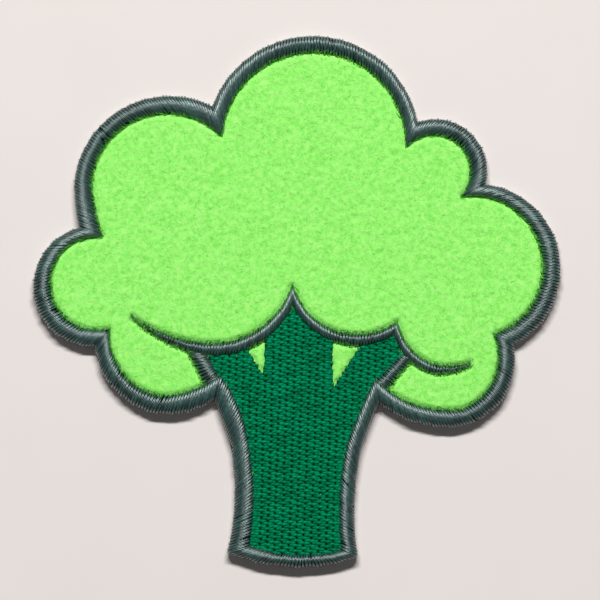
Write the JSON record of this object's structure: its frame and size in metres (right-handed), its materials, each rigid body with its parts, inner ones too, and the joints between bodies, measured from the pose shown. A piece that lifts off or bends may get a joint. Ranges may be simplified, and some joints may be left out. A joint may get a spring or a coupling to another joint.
{
  "type": "embroidered felt patch",
  "caption": "Die-cut felt patch in the shape of a head of broccoli, with a raised satin-stitch edge, stitched stem and heat-seal back.",
  "frame": {"origin": "centre of the patch's base, on the surface that it rests on", "axes": "+Z out of the patch's face, +Y from the foot of the stem to the crown, +X to the right of the face"},
  "size_m": [0.077, 0.0776, 0.0025],
  "materials": {
    "felt": "lime green felt with a short matted nap",
    "stem_thread": "emerald green embroidery thread in rows of fill stitch",
    "edge_thread": "slate green embroidery thread in satin stitch, lustrous",
    "bobbin_thread": "white matt bobbin thread",
    "stabiliser": "white non-woven stabiliser",
    "heat_seal_film": "milky clear heat-seal film with a soft gloss"
  },
  "bodies": {
    "root": {"heat_seal_film": "heat_seal_film", "backing_stabiliser": "stabiliser", "felt_ground": "felt", "stem_fill": "stem_thread", "edge_lower_left_floret": "edge_thread", "edge_left_floret": "edge_thread", "edge_upper_left_floret": "edge_thread", "edge_crown_floret": "edge_thread", "edge_upper_right_floret": "edge_thread", "edge_right_floret": "edge_thread", "edge_lower_right_floret": "edge_thread", "edge_stem_right": "edge_thread", "edge_stem_foot": "edge_thread", "edge_stem_left": "edge_thread", "floret_line_left": "edge_thread", "floret_line_middle": "edge_thread", "floret_line_right": "edge_thread", "branch_line_left": "edge_thread", "branch_line_right": "edge_thread", "bobbin_lower_left_floret": "bobbin_thread", "bobbin_left_floret": "bobbin_thread", "bobbin_upper_left_floret": "bobbin_thread", "bobbin_crown_floret": "bobbin_thread", "bobbin_upper_right_floret": "bobbin_thread", "bobbin_right_floret": "bobbin_thread", "bobbin_lower_right_floret": "bobbin_thread", "bobbin_stem_right": "bobbin_thread", "bobbin_stem_foot": "bobbin_thread", "bobbin_stem_left": "bobbin_thread", "bobbin_floret_line_left": "bobbin_thread", "bobbin_floret_line_middle": "bobbin_thread", "bobbin_floret_line_right": "bobbin_thread", "bobbin_branch_line_left": "bobbin_thread", "bobbin_branch_line_right": "bobbin_thread", "bobbin_stem_fill": "bobbin_thread"}
  },
  "joints": []
}
